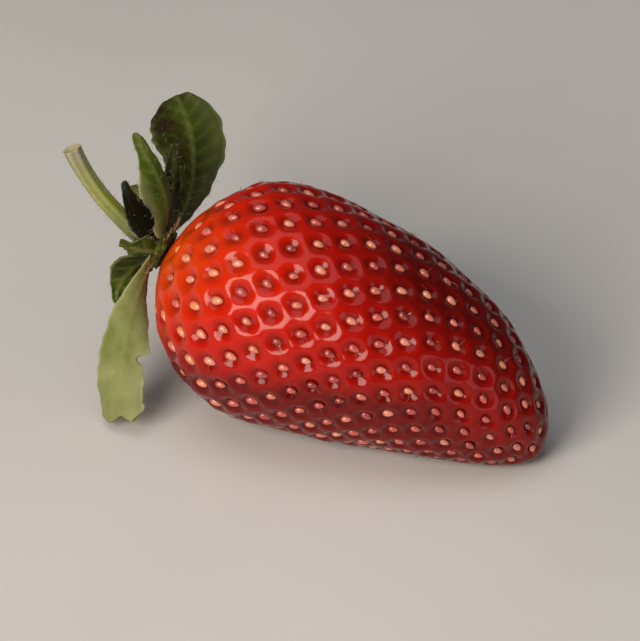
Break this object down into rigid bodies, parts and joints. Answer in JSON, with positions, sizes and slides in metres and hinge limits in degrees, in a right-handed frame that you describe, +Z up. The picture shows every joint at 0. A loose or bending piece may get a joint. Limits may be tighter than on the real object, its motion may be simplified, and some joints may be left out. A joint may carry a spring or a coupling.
{
  "type": "fresh strawberry",
  "caption": "Whole ripe strawberry lying on its side, with pitted seeds in glossy skin, a splayed green calyx and a short cut stalk.",
  "frame": {"origin": "middle of the small flat spot that the berry rests on", "axes": "+X from the calyx towards the tip, +Z up, +Y away from the side the picture shows"},
  "size_m": [0.0611, 0.0374, 0.032],
  "materials": {
    "flesh": "glossy ripe skin, orange at the shoulder and deep red towards the tip",
    "calyx": "dull olive leaf, paler underneath",
    "stalk": "pale yellow-green stem with a cream cut end"
  },
  "bodies": {
    "root": {"berry": "flesh", "calyx": "calyx", "stalk": "stalk"}
  },
  "joints": []
}
